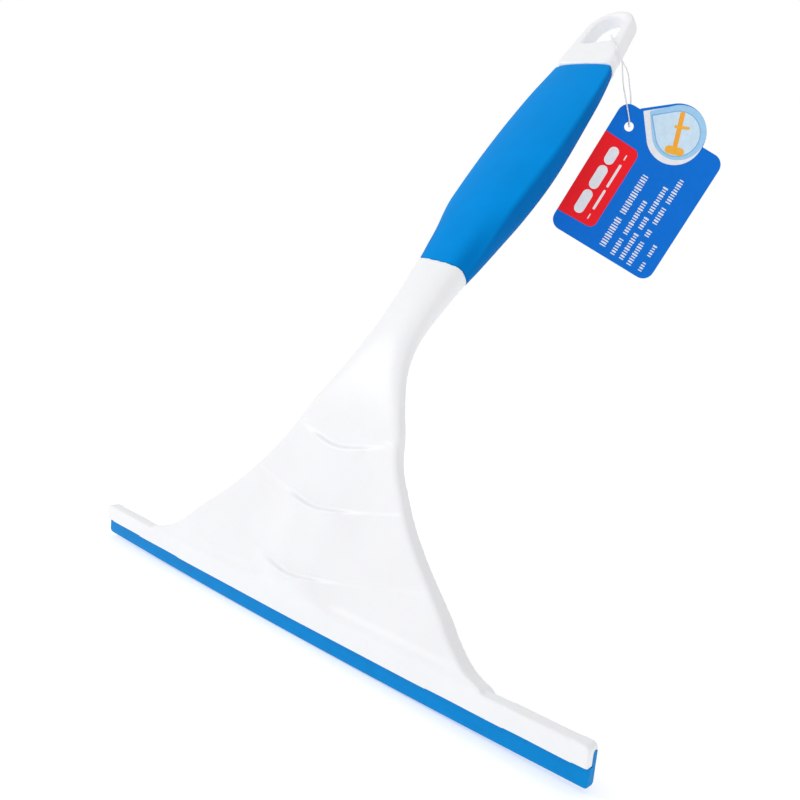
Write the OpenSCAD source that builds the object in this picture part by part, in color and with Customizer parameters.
/* [Head and blade] */
// Length of the head and of its wiper blade, end to end
head_len = 248; // [180:1:300]
// How far the blade stands out of the white head at the middle
blade_out = 6.2; // [5:0.1:12]
// Thickness of the blade where it wipes
blade_t = 2.6; // [2:0.1:3.2]
// Thickness of the blade's root inside the channel
root_t = 1.6; // [1.2:0.1:2]
// Depth of the blade's root inside the channel
root_h = 4.5; // [3:0.5:6]
// Height of the head's channel bar
bar_h = 6.5; // [6:0.5:9]
// Thickness of the head's channel bar
bar_t = 5; // [4.4:0.1:7]
// How far the wiping edge bows down at the middle
bow = 1.6; // [1:0.1:3]

/* [Fan] */
// Lean of the fan back from the upright blade, in degrees
fan_lean = 18.5; // [12:0.5:24]
// Length of the fan's flat panel, up to the neck's bend
fan_len = 65; // [55:1:80]
// Thickness of the fan's front panel at its thinnest
panel_t = 2.2; // [1.8:0.1:3]
// How far each V step stands out over the panel above it
step_out = 0.9; // [0.5:0.1:1.2]
// Depth of the rim walls behind the panel
rim_deep = 7; // [6:0.5:10]
// Thickness of the rim walls and the ribs behind the panel
wall = 2.2; // [1.6:0.1:3]

/* [Neck and handle] */
// Lean of the handle back from upright, in degrees
handle_lean = 40; // [34:0.5:46]
// Length of the neck's bend along its middle line
neck_len = 40; // [32:1:50]
// Width of the neck at its slimmest
neck_w = 22.5; // [19:0.5:27]
// Width of the grip at its widest
grip_w = 36.5; // [31:0.5:42]
// Thickness of the grip, front to back, at its thickest
grip_t = 18; // [15:0.5:22]
// Length of the soft grip sleeve
grip_len = 123; // [100:1:135]
// Thickness of the soft sleeve's wall
sleeve_t = 2.2; // [1.6:0.1:3]

/* [Hang loop] */
// Width of the hang loop across its shoulders
loop_w = 29; // [26:0.5:34]
// Thickness of the hang loop, front to back
loop_t = 7; // [6:0.5:9]
// Width of the hang hole at its foot
hole_w = 15.5; // [12:0.5:18]
// Height of the hang hole
hole_h = 18; // [16:0.5:22]

/* [Hang tag] */
// Long side of the hang tag's card
tag_long = 61; // [50:1:70]
// Short side of the hang tag's card
tag_short = 51; // [42:1:60]
// Thickness of the card
tag_t = 0.6; // [0.5:0.1:1]
// Diameter of the hang tag's plastic filament
filament_d = 0.6; // [0.5:0.1:1]

/* [Hidden] */
$fn = 48;
white = [0.93, 0.94, 0.95];
blue = [0.03, 0.50, 0.81];

// Path lengths up the middle line, from the wiping edge: fan, bend, grip, loop
s_fan = blade_out + bar_h - 1.5;
s_bend = s_fan + fan_len;
s_neck = s_bend + neck_len;
s_grip = s_neck + 35;
s_grip_end = s_grip + grip_len;
s_hole = s_grip_end + 14;
s_top = s_hole + hole_h + 4;
bend_r = neck_len * 180 / (PI * (handle_lean - fan_lean));
// Radius of the bowed wiping edge
bow_r = head_len * head_len / (8 * bow);

// Middle line: the lean and the [y, z] place at path length s
function lean(s) = s <= s_bend ? fan_lean : s >= s_neck ? handle_lean
    : fan_lean + (handle_lean - fan_lean) * (s - s_bend) / neck_len;
function fan_at(s) = [0.5 + (s - s_fan) * sin(fan_lean), s_fan + (s - s_fan) * cos(fan_lean)];
function bend_at(s) = fan_at(s_bend) + bend_r
    * [cos(fan_lean) - cos(lean(s)), sin(lean(s)) - sin(fan_lean)];
function line_at(s) = s <= s_bend ? fan_at(s) : s <= s_neck ? bend_at(s)
    : bend_at(s_neck) + (s - s_neck) * [sin(handle_lean), cos(handle_lean)];

// Middle of the grip, where a hand holds it: the part's origin
s_hand = s_grip + grip_len / 2;
hand_deep = 6;
hand = line_at(s_hand) + (4 - hand_deep) * [-cos(handle_lean), sin(handle_lean)];

// Smooth steps between the entries of a [s, value] table
function ease(t) = t * t * (3 - 2 * t);
function row_of(s, tab, i = 0) = i >= len(tab) - 2 || s < tab[i + 1][0] ? i : row_of(s, tab, i + 1);
function slope(tab, i) = i == 0 || i == len(tab) - 1 ? 0
    : (tab[i + 1][1] - tab[i - 1][1]) / (tab[i + 1][0] - tab[i - 1][0]);
function cubic(a, b, ma, mb, t, h) = a * (1 + 2 * t) * (1 - t) * (1 - t) + ma * h * t * (1 - t) * (1 - t)
    + b * t * t * (3 - 2 * t) - mb * h * t * t * (1 - t);
function read_at(s, tab) = let (q = min(max(s, tab[0][0]), tab[len(tab) - 1][0]), i = row_of(q, tab),
    h = tab[i + 1][0] - tab[i][0], t = (q - tab[i][0]) / h)
    cubic(tab[i][1], tab[i + 1][1], slope(tab, i), slope(tab, i + 1), t, h);

// Half width of the fan over its panel, from the head's shoulder to the neck
fan_w = [[s_fan + 2, 88], [s_fan + 5, 80], [s_fan + 10, 72.5], [s_fan + 18, 64], [s_fan + 28, 52.5],
    [s_fan + 38, 42.5], [s_fan + 48, 34.8], [s_fan + 58, 28.3], [s_bend + 3, 24.6], [s_bend + 13, 19.8],
    [s_bend + 25, 14.6], [s_neck - 2, neck_w / 2 + 0.4], [s_neck + 8, neck_w / 2],
    [s_grip, neck_w / 2 + 1.2], [s_grip + 20, grip_w / 2 - 3.4], [s_grip + 35, grip_w / 2 - 1.2],
    [s_grip + 68, grip_w / 2 + 0.1], [s_grip + 100, grip_w / 2 - 1], [s_grip_end, loop_w / 2 + 0.2],
    [s_grip_end + 11, loop_w / 2 - 2]];
// Thickness of the solid neck and handle, front to back
deep = [[s_fan + 44, 6], [s_bend + 5, 6.5], [s_bend + 20, 7.5], [s_neck, 9], [s_neck + 20, 11.5],
    [s_grip, 13.5], [s_grip + 25, grip_t - 1], [s_grip + 55, grip_t], [s_grip + 90, grip_t - 4],
    [s_grip_end, loop_t + 3], [s_grip_end + 11, loop_t - 1.4]];
// How far the front face stands before the middle line
front = [[s_fan + 44, 1.4], [s_bend + 5, 1], [s_neck, 2.8], [s_grip, 4.4], [s_grip + 35, 5],
    [s_grip + 68, 4], [s_grip + 100, 2.4], [s_grip_end, 1], [s_grip_end + 11, 0.5]];
// How square the section's front and back are: 2 is an ellipse, 9 is nearly a box
square_front = [[s_fan + 44, 9], [s_bend, 6], [s_bend + 20, 3.2], [s_grip, 2.8], [s_grip + 40, 3.6],
    [s_grip_end, 4]];
square_back = [[s_fan + 44, 9], [s_bend, 6], [s_bend + 20, 3], [s_grip, 2.4], [s_grip_end, 3]];

// One ring of a smooth section, squarer at the front and rounder at the back. A stop is
// [path length, inset from the outer skin, how much the ring slopes down towards its back, how
// far it dips at the middle of its front and back]
ring_n = 32;
function bend_pow(v, n) = sign(v) * pow(abs(v), 2 / n);
function ring(stop) = let (s = stop[0], w = read_at(s, fan_w) - stop[1], thick = read_at(s, deep),
    d = thick / 2 - stop[1], f = read_at(s, front), c = line_at(s), a = lean(s), mid = f - thick / 2)
    [for (i = [0 : ring_n - 1]) let (p = 360 * (i + 0.5) / ring_n,
        n = read_at(s, sin(p) > 0 ? square_front : square_back),
        x = w * bend_pow(cos(p), n), k = mid + d * bend_pow(sin(p), n),
        e = -stop[2] * (f - k) - stop[3] * pow(sin(p), 2))
        [x, c[0] - k * cos(a) + e * sin(a), c[1] + k * sin(a) + e * cos(a)]];
function middle(pts) = [for (k = [0 : 2]) let (v = [for (p = pts) p[k]]) (min(v) + max(v)) / 2];
// The two triangles of each cell between ring j and ring k
function cells(j, k) = [for (i = [0 : ring_n - 1]) let (i2 = (i + 1) % ring_n, a = j * ring_n + i,
    b = j * ring_n + i2, c = k * ring_n + i, d = k * ring_n + i2) each [[a, b, c], [b, d, c]]];
// A closed skin through a row of stops, its two ends closed by fans
module skin(stops) {
    m = len(stops);
    rings = [for (s = stops) ring(s)];
    polyhedron(points = concat([for (r = rings) each r], [middle(rings[0]), middle(rings[m - 1])]),
        faces = concat([for (i = [0 : ring_n - 1]) [(i + 1) % ring_n, i, m * ring_n]],
            [for (j = [0 : m - 2]) each cells(j, j + 1)],
            [for (i = [0 : ring_n - 1]) let (k = (m - 1) * ring_n)
                [k + i, k + (i + 1) % ring_n, m * ring_n + 1]]));
}
// A closed tube: the row of stops runs up the outside and back down the inside
module tube_skin(stops) {
    m = len(stops);
    polyhedron(points = [for (s = stops) each ring(s)],
        faces = [for (j = [0 : m - 1]) each cells(j, (j + 1) % m)]);
}

// Puts the whole part so that its origin is the middle of the grip
module placed() { translate([0, -hand[0], -hand[1]]) children(); }
// A flat frame on the middle line: x across, y up the line, z out of the front
module on_line(s) {
    translate([0, line_at(s)[0], line_at(s)[1]]) rotate([90 - lean(s), 0, 0]) children();
}

// The bowed band between two heights over the wiping edge, seen from the front
module bow_band(low, high, len) {
    intersection() {
        difference() {
            translate([0, bow_r]) circle(r = bow_r - low, $fn = 1440);
            translate([0, bow_r]) circle(r = bow_r - high, $fn = 1440);
        }
        translate([-len / 2, -1]) square([len, high + 12]);
    }
}
module upright(t, y = 0) { translate([0, y + t / 2, 0]) rotate([90, 0, 0]) linear_extrude(t) children(); }

// Fan outline between two path lengths, drawn in the fan's own plane
module fan_shape(low, high, less = 0) {
    steps = [for (i = [0 : 22]) low + (high - low) * i / 22];
    polygon(concat([for (s = steps) [read_at(s, fan_w) - less, s - s_fan]],
        [for (i = [22 : -1 : 0]) [less - read_at(steps[i], fan_w), steps[i] - s_fan]]));
}
// Everything on the fan below one V, given its point and its arms' half width and rise. The
// V is a smooth curve: nearly straight arms and a rounded point
function v_at(x, point, half, rise) = let (round = 7)
    point + rise * (sqrt(x * x + round * round) - round) / (sqrt(half * half + round * round) - round);
module below_v(point, half, rise) {
    polygon(concat([[100, -20]], [for (x = [100 : -4 : -100]) [x, v_at(x, point, half, rise)]],
        [[-100, -20]]));
}

module fan() {
    top = s_bend - 4;
    on_line(s_fan) {
        // front panel and its V steps, each one prouder than the one above
        translate([0, 0, 1.6 - panel_t]) linear_extrude(panel_t) fan_shape(s_fan, top);
        translate([0, 0, 1]) linear_extrude(0.6 + step_out) intersection() {
            fan_shape(s_fan, top);
            below_v(57, 20, 4);
        }
        translate([0, 0, 1]) linear_extrude(0.6 + 2 * step_out) intersection() {
            fan_shape(s_fan, top);
            below_v(33, 33, 6.5);
        }
        translate([0, 0, 1]) linear_extrude(0.6 + 3 * step_out) intersection() {
            fan_shape(s_fan, top);
            below_v(9, 50, 10.5);
        }
        // rim walls down both flanks and three ribs, all shallower towards the neck
        intersection() {
            union() {
                translate([0, 0, 1.4 - rim_deep]) linear_extrude(rim_deep) difference() {
                    fan_shape(s_fan, top);
                    offset(delta = -wall) fan_shape(s_fan - 12, top + 6);
                }
                for (a = [-38, 0, 38]) translate([0, 62, 3 - rim_deep]) rotate(a)
                    translate([-wall / 2, -70, 0]) cube([wall, 62, rim_deep - 2]);
            }
            rotate([90, 0, 90]) translate([0, 0, -200]) linear_extrude(400)
                polygon([[-20, -rim_deep], [14, 1.4 - rim_deep], [60, -3], [80, -3], [80, 2], [-20, 2]]);
        }
    }
}

root_y = 0.5 + (bar_t - root_t) / 2 - 0.6;
// The head's channel bar: a bowed bar with a slot along its underside for the blade's root
module head_bar() {
    difference() {
        upright(bar_t, 0.5) intersection() {
            bow_band(blade_out, blade_out + bar_h, head_len);
            // the bar's two top corners are rounded
            hull() for (k = [-1, 1]) {
                translate([k * (head_len / 2 - 3), blade_out + bar_h + bow - 3]) circle(r = 3);
                translate([k * (head_len / 2 - 0.5), 0]) circle(r = 0.5);
            }
        }
        upright(root_t, root_y) bow_band(-1, blade_out + root_h, head_len + 2);
    }
}

// The hang loop's outline and its hole, drawn in the handle's plane from the grip's end
module loop_shape() {
    y0 = s_top - s_grip_end;
    hull() {
        translate([0, y0 - 12]) circle(r = 12);
        for (k = [-1, 1]) translate([k * (loop_w / 2 - 3), 3]) circle(r = 3);
    }
}
module hole_shape() {
    y0 = s_hole - s_grip_end;
    hull() {
        translate([0, y0 + hole_h - 7]) circle(r = 7);
        for (k = [-1, 1]) translate([k * (hole_w / 2 - 2), y0 + 2]) circle(r = 2);
    }
}

// Stops along the grip: square at its foot, sloping more and more towards its top
top_slope = 0.25;
foot_dip = 4.5;
grip_stops = [for (i = [0 : 20]) let (t = i / 20)
    [s_grip + grip_len * t, 0, top_slope * ease(max(0, t * 4 - 3)), foot_dip * ease(max(0, 1 - t * 5))]];
function inset_by(stops, d) = [for (q = stops) [q[0], d, q[2], q[3]]];
body_stops = concat([for (i = [0 : 8]) [s_fan + 46 + (s_neck - s_fan - 46) * i / 8, 0, 0, 0]],
    [for (i = [1 : 5]) [s_neck + (s_grip - s_neck) * i / 5, 0, 0, foot_dip * ease(i / 5)]],
    inset_by(grip_stops, sleeve_t), [grip_stops[20]],
    [[s_grip_end + 5, 0, 0.1, 0], [s_grip_end + 11, 0, 0, 0]]);

module body() {
    color(white) placed() {
        head_bar();
        difference() {
            fan();
            // the panel and walls stop at the front and back of the head's bar
            translate([-200, -50, -40]) cube([400, 100, 40 + blade_out + 3]);
            upright(root_t, root_y) bow_band(-1, blade_out + root_h, head_len + 2);
        }
        skin(body_stops);
        on_line(s_grip_end) translate([0, 0, 1 - loop_t]) linear_extrude(loop_t) difference() {
            loop_shape();
            hole_shape();
        }
    }
}

module wiper_blade() {
    color(blue) placed() {
        upright(blade_t, 0.5 + (bar_t - blade_t) / 2 - 0.6) intersection() {
            bow_band(0, blade_out, head_len);
            // the two corners of the wiping edge are rounded
            hull() for (k = [-1, 1]) {
                translate([k * (head_len / 2 - 2.5), bow + 2.5]) circle(r = 2.5);
                translate([k * (head_len / 2 - 10), -1]) circle(r = 1);
                translate([k * (head_len / 2 - 0.5), blade_out + 2]) circle(r = 0.5);
            }
        }
        upright(root_t, root_y) bow_band(0.5, blade_out + root_h, head_len);
    }
}

module grip_sleeve() {
    color(blue) placed() tube_skin(concat(grip_stops,
        inset_by([for (i = [20 : -1 : 0]) grip_stops[i]], sleeve_t)));
}

// The tag hangs from the right-hand foot of the hang hole and faces forward and aside.
// Its frame starts at the card's punched hole, x aside and y up in the card's plane
tag_face = 39;
tag_hole_at = [20.5, line_at(s_hole)[0] + 1.4, line_at(s_hole)[1] - 36.8];
card_hole = 4;
card_tilt = -25;
module tag_frame() { placed() translate(tag_hole_at) rotate([90, 0, tag_face]) children(); }

module card_shape() {
    rotate(card_tilt) translate([-7.8, 8.6 - tag_long]) {
        hull() for (x = [5, tag_short - 5], y = [5, tag_long - 5]) translate([x, y]) circle(r = 5);
        // the drop-shaped picture that stands out past the card's upper side
        hull() {
            translate([27, tag_long - 0.6]) circle(r = 12.5);
            translate([9, tag_long - 0.4]) circle(r = 1.2);
        }
    }
}
module tag_card() {
    color([0.02, 0.35, 0.75]) tag_frame() difference() {
        linear_extrude(tag_t) card_shape();
        translate([0, 0, -1]) cylinder(d = card_hole, h = tag_t + 2);
    }
}

// Places in the tag's frame and in the handle's: [x, up the line, out of the front]
function on_tag(p) = tag_hole_at + p[0] * [cos(tag_face), sin(tag_face), 0] + [0, 0, p[1]]
    + p[2] * [sin(tag_face), -cos(tag_face), 0];
function on_handle(p) = let (c = line_at(p[1]))
    [p[0], c[0] - p[2] * cos(handle_lean), c[1] + p[2] * sin(handle_lean)];
// Route of the filament: up behind the card from its lock, behind the loop's foot, forward
// through the hang hole, over the front, down the card's face, back through the card's hole
// and into the lock again
out_x = loop_w / 2 - 14.5;
filament_route = concat(
    [for (p = [[0, 6.5, -2.6], [0, 9, -2.7], [-0.4, 13, -3.2], [-1.4, 18, -4.2], [-2.8, 24, -5.8]])
        on_tag(p)],
    [for (p = [[12, s_hole - 4.4, -7.8], [8.4, s_hole - 0.6, -7.7], [6.7, s_hole + 1.6, -6.2],
        [6.3, s_hole + 2.2, -3], [6.4, s_hole + 2, 0.9], [7.7, s_hole + 0.1, 2.4], [9.8, s_hole - 3, 2.4],
        [13.2, s_hole - 7, 2.6], [15.3, s_hole - 9.8, 1.9]]) on_handle(p + [out_x, 0, 0])],
    [for (p = [[-7, 26.5, 1.7], [-5.9, 21, 1.8], [-4.6, 15.5, 1.8], [-2.6, 9.5, 1.7], [-0.9, 4.2, 1.5],
        [0, 1, 1.3], [0.3, -0.2, 0.5], [0.2, 0.2, -0.8], [0, 1.6, -2], [0, 3.5, -2.6]]) on_tag(p)]);
function unit(v) = v / norm(v);
function along(pts, i) = unit(pts[min(i + 1, len(pts) - 1)] - pts[max(i - 1, 0)]);
// A reference direction carried along the route, so that the tube doesn't twist
function carried(pts, i) = let (t = along(pts, i), r = i == 0 ? [1, 0, 0] : carried(pts, i - 1))
    unit(r - (r * t) * t);
// Points between the route's own, on a smooth curve
function between(pts, i, t) = let (n = len(pts) - 1, a = pts[max(i - 1, 0)], b = pts[i],
    c = pts[min(i + 1, n)], d = pts[min(i + 2, n)])
    0.5 * (2 * b + t * (c - a) + t * t * (2 * a - 5 * b + 4 * c - d)
    + t * t * t * (3 * b - a - 3 * c + d));
module cord_tube(route, d) {
    sides = 8;
    pts = concat([for (i = [0 : len(route) - 2], t = [0, 0.5]) between(route, i, t)],
        [route[len(route) - 1]]);
    m = len(pts);
    polyhedron(points = [for (i = [0 : m - 1]) let (t = along(pts, i), r = carried(pts, i),
            q = cross(t, r)) each [for (k = [0 : sides - 1])
            pts[i] + d / 2 * (cos(360 * k / sides) * r + sin(360 * k / sides) * q)]],
        faces = concat([[for (k = [0 : sides - 1]) k]],
            [for (i = [0 : m - 2], k = [0 : sides - 1]) each [[i * sides + k, (i + 1) * sides + k,
                i * sides + (k + 1) % sides], [i * sides + (k + 1) % sides, (i + 1) * sides + k,
                (i + 1) * sides + (k + 1) % sides]]],
            [[for (k = [sides - 1 : -1 : 0]) (m - 1) * sides + k]]));
}
module tag_filament() {
    color([0.96, 0.97, 0.97]) placed() cord_tube(filament_route, filament_d);
}
// The lock is a small moulded bead behind the card that holds both ends of the filament
module filament_lock() {
    color([0.95, 0.96, 0.96]) placed() translate(on_tag([0, 5, -2.6])) rotate([0, 0, tag_face])
        intersection() {
            sphere(r = 2.1);
            translate([-3, -1.5, -1.7]) cube([6, 3, 3.4]);
        }
}

body();
wiper_blade();
grip_sleeve();
tag_card();
tag_filament();
filament_lock();
